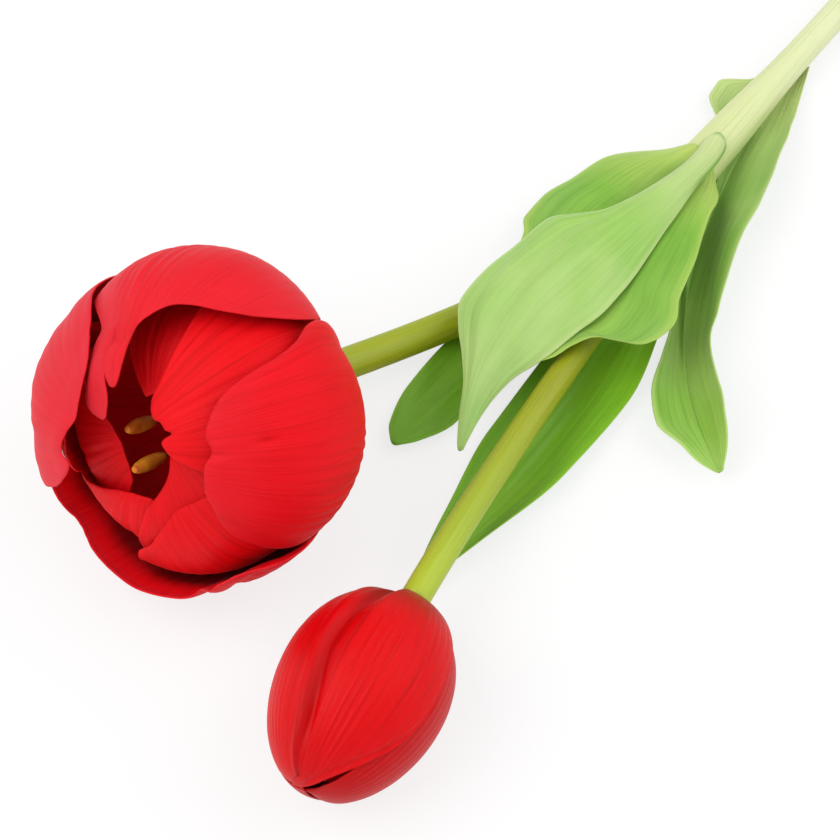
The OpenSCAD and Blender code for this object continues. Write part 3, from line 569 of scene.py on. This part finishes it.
def ramp(tree, value, *stops):
    """Colour ramp through (place, colour) stops."""
    n = tree.nodes.new("ShaderNodeValToRGB")
    band = n.color_ramp
    band.elements[0].position, band.elements[0].color = stops[0]
    band.elements[1].position, band.elements[1].color = stops[-1]
    for place, colour in stops[1:-1]:
        band.elements.new(place).color = colour
    put(tree, n, Fac=value)
    return n.outputs["Color"]


def fade(tree, value, start, end):
    """0 at start and 1 at end, smooth between."""
    n = tree.nodes.new("ShaderNodeMapRange")
    n.interpolation_type = "SMOOTHSTEP"
    put(tree, n, Value=value, From_Min=start, From_Max=end)
    return n.outputs["Result"]


def uv_axes(tree):
    uv = tree.nodes.new("ShaderNodeUVMap")
    uv.uv_map = "UVMap"
    split = tree.nodes.new("ShaderNodeSeparateXYZ")
    put(tree, split, Vector=uv.outputs["UV"])
    return split.outputs["X"], split.outputs["Y"]


def streaks(tree, x, y, across, along, detail, seed=0.0):
    """Noise drawn out along y."""
    join = tree.nodes.new("ShaderNodeCombineXYZ")
    put(tree, join, X=times(tree, x, across), Y=times(tree, y, along), Z=seed)
    n = tree.nodes.new("ShaderNodeTexNoise")
    put(tree, n, Scale=1.0, Detail=detail, Roughness=0.6, Vector=join.outputs[0])
    return n.outputs["Fac"]


def cloud(tree, scale, detail):
    """Soft blotches in the object's own space."""
    place = tree.nodes.new("ShaderNodeTexCoord")
    n = tree.nodes.new("ShaderNodeTexNoise")
    put(tree, n, Scale=scale, Detail=detail, Vector=place.outputs["Object"])
    return n.outputs["Fac"]


def painted_light_of(tree):
    # Reads the painted light (sheen and shade) of each vertex
    n = tree.nodes.new("ShaderNodeAttribute")
    n.attribute_name = "painted_light"
    return n.outputs["Fac"]


def bumped(tree, shader, height, distance, strength):
    n = tree.nodes.new("ShaderNodeBump")
    put(tree, n, Distance=distance, Strength=strength, Height=height)
    put(tree, shader, Normal=n.outputs["Normal"])


# ---------------------------------------------------------------- materials
# Dark red of the shade that is painted on petals
PAINTED_PETAL_SHADE = lin(112, 0, 4)
SHEEN_TINT = lin(255, 190, 195)


def petal_material(name, body, dark, painted_sheen, base, rough, sheen):
    """Red moulded petal: fine veins, painted sheen that pales the colour near the margin, and a darker base
    that is partly its own colour and partly painted shade of the flower's deep inside.

    A positive painted light paints more of that sheen and a negative one paints shade.
    """
    mat, tree, shader = nodes_of(name)
    x, y = uv_axes(tree)
    painted_light = painted_light_of(tree)
    vein = streaks(tree, x, y, across=95, along=2.2, detail=4.0)
    broad = streaks(tree, x, y, across=16, along=1.6, detail=2.0, seed=4.0)
    colour = ramp(tree, weigh(tree, vein, 0.6, broad, 0.4), (0.28, dark), (0.50, body))
    # Painted sheen: the paler colour toward the margin, and where the painted light is above 0
    pale = times(tree, fade(tree, y, 0.55, 1.05), fade(tree, vein, 0.42, 0.85))
    sheen_share = maths(tree, "MAXIMUM", painted_light, 0.0)
    colour = mix(tree, weigh(tree, pale, 0.25, sheen_share, 0.8), colour, painted_sheen)
    # Darker toward the petal's base: partly its own colour, partly painted shade of the flower's deep inside
    colour = mix(tree, times(tree, fade(tree, y, 0.30, 0.0), 0.8), colour, base)
    spots = fade(tree, cloud(tree, scale=55, detail=2.0), 0.40, 0.62)
    colour = mix(tree, times(tree, spots, 0.12), colour, dark)
    # Painted shade: dark red where the painted light is below 0
    shade = maths(tree, "MAXIMUM", times(tree, painted_light, -1.0), 0.0)
    colour = mix(tree, shade, colour, PAINTED_PETAL_SHADE)
    put(tree, shader, Base_Color=colour, Roughness=maths(tree, "MULTIPLY_ADD", vein, 0.16, rough),
        Sheen_Weight=sheen, Sheen_Roughness=0.2, Sheen_Tint=SHEEN_TINT, Specular_IOR_Level=0.14,
        Subsurface_Weight=0.12, Subsurface_Radius=(1.0, 0.12, 0.08), Subsurface_Scale=0.0015)
    bumped(tree, shader, weigh(tree, vein, 0.7, broad, 0.3), distance=0.0003, strength=0.6)
    return mat


def leaf_material(name, base, mid, tip, dark):
    """Green moulded leaf: its colour changes from base to tip, with veins along it and pale edges.

    The painted light attribute paints shade on it in its dark colour.
    """
    mat, tree, shader = nodes_of(name)
    x, y = uv_axes(tree)
    vein = streaks(tree, x, y, across=60, along=3.0, detail=4.0)
    broad = streaks(tree, x, y, across=9, along=3.2, detail=2.0, seed=2.0)
    along = maths(tree, "MULTIPLY_ADD", broad, 0.16, maths(tree, "SUBTRACT", y, 0.08))
    colour = ramp(tree, along, (0.02, base), (0.38, mid), (0.95, tip))
    shade = fade(tree, weigh(tree, vein, 0.6, broad, 0.4), 0.62, 0.30)
    colour = mix(tree, times(tree, shade, 0.45), colour, dark)
    spots = fade(tree, cloud(tree, scale=40, detail=3.0), 0.45, 0.7)
    colour = mix(tree, times(tree, spots, 0.2), colour, base)
    edge = fade(tree, maths(tree, "ABSOLUTE", maths(tree, "SUBTRACT", x, 0.5)), 0.44, 0.5)
    colour = mix(tree, times(tree, edge, 0.4), colour, base)
    # Painted shade: the dark colour where the painted light attribute is above 0
    colour = mix(tree, painted_light_of(tree), colour, dark)
    put(tree, shader, Base_Color=colour, Roughness=maths(tree, "MULTIPLY_ADD", vein, 0.15, 0.42),
        Sheen_Weight=0.12, Sheen_Roughness=0.5,
        Subsurface_Weight=0.10, Subsurface_Radius=(0.5, 1.0, 0.2), Subsurface_Scale=0.0012)
    bumped(tree, shader, weigh(tree, vein, 0.6, broad, 0.7), distance=0.0002, strength=0.6)
    return mat


def stem_material(name, *stops):
    """Stem: (place, colour) stops along its length, faint streaks and a soft gloss."""
    mat, tree, shader = nodes_of(name)
    x, y = uv_axes(tree)
    fine = streaks(tree, x, y, across=40, along=5.0, detail=3.0)
    colour = ramp(tree, maths(tree, "MULTIPLY_ADD", fine, 0.06, maths(tree, "SUBTRACT", y, 0.03)), *stops)
    dark = mix(tree, 1.0, colour, (0.72, 0.74, 0.55, 1), "MULTIPLY")
    colour = mix(tree, times(tree, fade(tree, fine, 0.55, 0.25), 0.5), colour, dark)
    put(tree, shader, Base_Color=colour, Roughness=maths(tree, "MULTIPLY_ADD", fine, 0.14, 0.38),
        Subsurface_Weight=0.1, Subsurface_Radius=(0.6, 1.0, 0.2), Subsurface_Scale=0.0015)
    bumped(tree, shader, fine, distance=0.00025, strength=0.5)
    return mat


def plain_material(name, colour, dark, scale, rough, metal=0.0, grain=0.0001):
    """Small parts: a mottled colour with a fine grain."""
    mat, tree, shader = nodes_of(name)
    n = cloud(tree, scale, detail=4.0)
    put(tree, shader, Base_Color=ramp(tree, n, (0.35, dark), (0.65, colour)),
        Roughness=maths(tree, "MULTIPLY_ADD", n, 0.2, rough), Metallic=metal)
    bumped(tree, shader, n, distance=grain, strength=0.6)
    return mat


RED = petal_material("petal_red", body=lin(226, 4, 18), dark=lin(198, 2, 10), painted_sheen=lin(212, 62, 78),
                     base=lin(150, 30, 4), rough=0.5, sheen=0.10)
RED_IN = petal_material("petal_red_inner", body=lin(230, 4, 16), dark=lin(180, 2, 8), painted_sheen=lin(232, 50, 58),
                        base=lin(130, 14, 2), rough=0.5, sheen=0.06)
RED_BUD = petal_material("petal_red_bud", body=lin(216, 0, 6), dark=lin(176, 0, 6), painted_sheen=lin(206, 46, 54),
                         base=lin(120, 22, 10), rough=0.30, sheen=0.12)
LEAF_FRONT = leaf_material("leaf_front", base=lin(206, 218, 152), mid=lin(152, 196, 90),
                           tip=lin(160, 200, 108), dark=lin(110, 162, 44))
LEAF_CUP = leaf_material("leaf_cup", base=lin(190, 212, 100), mid=lin(122, 178, 46), tip=lin(140, 188, 74),
                         dark=lin(66, 118, 4))
LEAF_SIDE = leaf_material("leaf_side", base=lin(206, 220, 146), mid=lin(134, 180, 74), tip=lin(146, 196, 70),
                          dark=lin(96, 144, 36))
LEAF_DEEP = leaf_material("leaf_deep", base=lin(140, 190, 34), mid=lin(120, 178, 20), tip=lin(112, 172, 18),
                          dark=lin(82, 136, 6))
STEM_PALE = stem_material("stem_pale", (0.0, lin(222, 226, 188)), (0.6, lin(218, 224, 176)),
                          (1.0, lin(204, 216, 140)))
STEM_OPEN = stem_material("stem_open", (0.0, lin(168, 184, 60)), (0.45, lin(152, 166, 10)),
                          (1.0, lin(170, 186, 24)))
STEM_BUD = stem_material("stem_bud", (0.0, lin(150, 150, 20)), (0.5, lin(152, 160, 20)),
                         (0.8, lin(160, 180, 36)), (1.0, lin(176, 196, 44)))
NODE_LOOKS = {                             # materials of the CAD nodes that stay, by a word in their name
    "anther": plain_material("anther_ochre", lin(240, 160, 30), lin(204, 96, 10), scale=260, rough=0.55,
                             grain=0.00015),
    "whorl": plain_material("filament_red", lin(150, 20, 20), lin(110, 10, 8), scale=260, rough=0.5),
    "pistil": plain_material("pistil_green", lin(150, 150, 50), lin(110, 104, 20), scale=300, rough=0.5),
    "hub": plain_material("hub_green", lin(120, 138, 34), lin(92, 108, 20), scale=300, rough=0.5),
    "peg": plain_material("peg_pale", lin(196, 204, 120), lin(176, 184, 96), scale=300, rough=0.45),
    "wire": plain_material("wire_steel", lin(160, 162, 166), lin(120, 122, 126), scale=600, rough=0.35,
                           metal=1.0, grain=0.00003),
    "core": plain_material("foam_red", lin(132, 8, 12), lin(104, 4, 8), scale=700, rough=0.8, grain=0.0003),
}
for name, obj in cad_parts.items():
    for word, material in NODE_LOOKS.items():
        if word in name:
            for slot in obj.material_slots:
                slot.material = material


# ---------------------------------------------------------------- petals and leaves as pieces
ROWS, COLS = ((96, 120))      # quads along and across a petal
LEAF_ROWS = ROWS + 28
# Share of the thickness at the edges, and the widths over which it fades
PETAL_EDGE, SIDE_FADE, TIP_FADE = 0.42, 0.22, 0.16
LEAF_EDGE, LEAF_FADE = 0.4, 0.5


# Painted light on the outer and inner face: a positive share paints sheen, a negative one paints shade
def no_painted_light(u, m):
    return 0.0, 0.0


PAINTED_LIGHT_SHARES = {
    "outer_petal_top": lambda u, m: (0.25 + 0.25 * step(m, 0.2, 0.9) + 0.2 * bump(u, 0.5, 0.2), -0.3),
    "outer_petal_left": lambda u, m: (0.6 - 0.2 * bump(m, 0.2, 0.4), -0.4),
    # painted highlight on the low petal's flared lip and painted shadow deep inside it
    "outer_petal_low": lambda u, m: (0.2, 0.25 * step(u, 0.93, 0.99) - 0.85 * (1 - step(u, 0.80, 0.94))),
    "outer_petal_right": lambda u, m: (0.15 * step(u, 0.8, 1.0), -0.3),
    # painted shadow in the groove under the front tepal's edge, painted sheen on the other side
    "bud_tepal_2": lambda u, m: (0.5 * step(m, 0.2, 0.8) - 0.35 * bump(m, -0.6, 0.12), -0.5),
    # painted shade on the bud's other two tepals
    "bud_tepal_3": lambda u, m: (-0.25, -0.5),
    "bud_tepal_4": lambda u, m: (-0.25, -0.5),
}


def add_petal(name, p, frame_of, seat, body, slot, material, thick):
    g, u, m = petal_grid(p, ROWS, COLS)
    inward = petal_grid(p, ROWS, COLS, depth=1.0)[0] - g
    edge = step(1 - np.abs(m), 0, SIDE_FADE) * step(1 - u, 0, TIP_FADE)
    t = thick * (PETAL_EDGE + (1 - PETAL_EDGE) * edge)[..., None]
    verts, faces, loop = loft(g @ frame_of.T + seat, (g + inward * t) @ frame_of.T + seat)
    uv = np.stack([(m + 1) / 2, u], -1).reshape(-1, 2)
    # painted sheen and shade of the outer and inner face
    outer, inner = (np.broadcast_to(k, u.shape).ravel() for k in PAINTED_LIGHT_SHARES.get(name, no_painted_light)(u, m))
    obj = add_mesh("soft_" + name, verts, faces, np.concatenate([uv, uv, uv[loop]]),
                   np.concatenate([outer, inner, (outer + inner)[loop] / 2]))
    finish_piece(obj, body, slot, material, name)


def painted_cup_shadow(t, v):
    """Painted shadow of the front leaf, darker along the middle of the cup leaf."""
    return 0.75 * bump(v, -0.12, 0.3) * window(t, 0.12, 0.66, 0.1)


def painted_front_shade(t, v):
    """Painted shade at the end and the edges of the front leaf's base, by the stem."""
    return 0.9 * step(np.maximum(np.abs(v), 1 - 30 * t), 0.66, 0.92) * (1 - step(t, 0.13, 0.25))


def no_shade(t, v):
    return 0.0 * t


def add_leaf(name, p, slot, material, painted_shade=no_shade):
    g, t, v, face = leaf_grid(p, LEAF_ROWS, COLS)
    thick = (LEAF_T * (LEAF_EDGE + (1 - LEAF_EDGE) * step(1 - np.abs(v), 0, LEAF_FADE)))[..., None]
    verts, faces, loop = loft(g, g - face * thick)
    uv = np.stack([(v + 1) / 2, t], -1).reshape(-1, 2)
    # Painted shade at each vertex, stored as painted light
    shade = painted_shade(t, v).ravel()
    obj = add_mesh("soft_" + name, verts, faces, np.concatenate([uv, uv, uv[loop]]),
                   np.concatenate([shade, shade, shade[loop]]))
    finish_piece(obj, "stems", slot, material, name)


LEAF_LOOKS = {"cup_leaf": ("leaf_green", LEAF_CUP, painted_cup_shadow),
              "front_leaf": ("leaf_pale", LEAF_FRONT, painted_front_shade),
              "bud_leaf": ("leaf_deep", LEAF_DEEP), "back_leaf": ("leaf_deep", LEAF_DEEP),
              "side_leaf": ("leaf_green", LEAF_SIDE)}
for name, p in PETALS.items():
    look = ("outer_petal", RED) if name.startswith("outer") else ("inner_petal", RED_IN)
    add_petal(name, p, OPEN_FRAME, OPEN_SEAT, "open_head", *look, PETAL_T)
for name, p in TEPALS.items():
    add_petal(name, p, BUD_FRAME, BUD_SEAT, "bud_head", "bud_petal", RED_BUD, TEPAL_T)
for name, p in LEAVES.items():
    add_leaf(name, p, *LEAF_LOOKS[name])


# ---------------------------------------------------------------- stems
AROUND, STEM_ROWS, BRANCH_ROWS = 40, 90, 70      # vertices round a stem, and rings along it
STEM_RIBS, BRANCH_RIBS = 0.006, 0.008      # height of the lengthwise ribs, as a share of the radius
FORK_WIDER, FORK_FLATTER, FORK_SHIFT = 2.2, 1.7, 0.3      # the fork is wider, flatter and a little to one side
FORK_START, FORK_END = 4, 2                # that change starts before the fork and ends before the fork's end
WAIST = 0.04                               # how much thinner a branch is at its middle


def tube(name, centres, directions, radii, slot, material, nodes, ribs):
    """Capped tube through centres on body stems; radii gives each ring's (across, up) half-widths."""
    rows = len(centres)
    a = np.linspace(0, 2 * np.pi, AROUND, endpoint=False)
    side = np.cross(directions, [0, 0, 1.0])
    side /= np.linalg.norm(side, axis=1, keepdims=True)
    up = np.cross(side, directions)
    wave = 1 + ribs * np.cos(7 * a + 0.6) + 0.6 * ribs * np.cos(11 * a)
    rings = (centres[:, None] + side[:, None] * (radii[:, :1] * (np.cos(a) * wave))[..., None]
             + up[:, None] * (radii[:, 1:] * (np.sin(a) * wave))[..., None])
    ij = np.arange(rows * AROUND).reshape(rows, AROUND)
    nxt = np.roll(ij, -1, axis=1)
    k = np.arange(AROUND // 2 - 1)
    first, last = (np.stack([r[k], r[k + 1], r[-(k + 2)], r[-(k + 1)]], -1) for r in (ij[0], ij[-1]))
    faces = [np.stack([ij[:-1], nxt[:-1], nxt[1:], ij[1:]], -1).reshape(-1, 4), first[:, ::-1], last]
    uv = np.stack([np.tile(a / (2 * np.pi), rows), np.repeat(np.linspace(0, 1, rows), AROUND)], -1)
    obj = add_mesh(name, rings.reshape(-1, 3), np.concatenate(faces), uv)
    finish_piece(obj, "stems", slot, material, *nodes)


x = np.linspace(0, -(STEM_LEN + FORK_LEN), STEM_ROWS)
flare = step(-x, STEM_LEN - SHEATH_LEN, STEM_LEN)
fork = step(-x, STEM_LEN - FORK_START, STEM_LEN + FORK_LEN - FORK_END)
wide = STEM_R + (SHEATH_R - STEM_R) * flare + FORK_WIDER * fork
high = STEM_R + (SHEATH_R - STEM_R) * flare - FORK_FLATTER * fork
tube("soft_stem", np.stack([x, FORK_SHIFT * fork, 0 * x], -1), np.tile([-1.0, 0, 0], (STEM_ROWS, 1)),
     np.stack([wide, high], -1), "stem_pale", STEM_PALE, ("main_sleeve", "leaf_sheath", "fork_core"),
     STEM_RIBS)
for name, route, radius, material in (("open_sleeve", OPEN_ROUTE, OPEN_STEM_R, STEM_OPEN),
                                      ("bud_sleeve", BUD_ROUTE, BUD_STEM_R, STEM_BUD)):
    t = np.linspace(0, 1, BRANCH_ROWS)
    r = radius * (1 - WAIST * bump(t, 0.5, 0.3))
    tube("soft_" + name, bez(route, t), bez_dir(route, t), np.stack([r, r], -1), "stem_green", material,
         (name,), BRANCH_RIBS)


# ---------------------------------------------------------------- floor, lights and camera, in metres
FLOOR_SIZE, FLOOR_X, FLOOR_DROP, FLOOR_GLOW = 6, -0.18, 0.00005, 0.75
TARGET = Vector((-0.2721, 0.00585, 0.008))
CAMERA_AWAY, LENS, SENSOR = 0.560, 103.38, 36

mat, tree, shader = nodes_of("floor_white")
put(tree, shader, Base_Color=(0.88, 0.88, 0.88, 1), Roughness=0.9, Specular_IOR_Level=0.1)
glow = tree.nodes.new("ShaderNodeEmission")
put(tree, glow, Strength=1.0)
path = tree.nodes.new("ShaderNodeLightPath")
blend = tree.nodes.new("ShaderNodeMixShader")
put(tree, blend, Fac=times(tree, path.outputs["Is Camera Ray"], FLOOR_GLOW))
tree.links.new(shader.outputs[0], blend.inputs[1])
tree.links.new(glow.outputs[0], blend.inputs[2])
tree.links.new(blend.outputs[0], tree.nodes["Material Output"].inputs["Surface"])
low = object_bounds()[0][2]
bpy.ops.mesh.primitive_plane_add(size=FLOOR_SIZE, location=(FLOOR_X, 0, low - FLOOR_DROP))
floor = bpy.context.object
floor.name = "floor"
floor.data.materials.append(mat)

world = bpy.data.worlds.new("studio")
bpy.context.scene.world = world
world.use_nodes = True
put(world.node_tree, world.node_tree.nodes["Background"], Color=(1, 1, 1, 1), Strength=0.70)


def lamp(name, place, size, power):
    """Square lamp that looks at the target."""
    data = bpy.data.lights.new(name, "AREA")
    data.size = size
    data.energy = power
    obj = bpy.data.objects.new(name, data)
    obj.location = Vector(place)
    obj.rotation_euler = (TARGET - obj.location).to_track_quat("-Z", "Y").to_euler()
    bpy.context.scene.collection.objects.link(obj)


lamp("key", (-0.75, 0.35, 0.95), size=0.8, power=6.0)
lamp("fill", (0.25, -0.55, 0.8), size=0.9, power=4.0)

right, up = Vector((0.6225, -0.7826, 0)), Vector((0.6777, 0.5391, 0.5))
back = Vector((-0.3913, -0.3113, 0.8660))
data = bpy.data.cameras.new("camera")
data.sensor_fit, data.sensor_width, data.lens = "HORIZONTAL", SENSOR, LENS
camera = bpy.data.objects.new("camera", data)
camera.matrix_world = (Matrix.Translation(TARGET + CAMERA_AWAY * back)
                       @ Matrix((right, up, back)).transposed().to_4x4())
bpy.context.scene.collection.objects.link(camera)
bpy.context.scene.camera = camera
bpy.context.scene.view_settings.view_transform = "Standard"
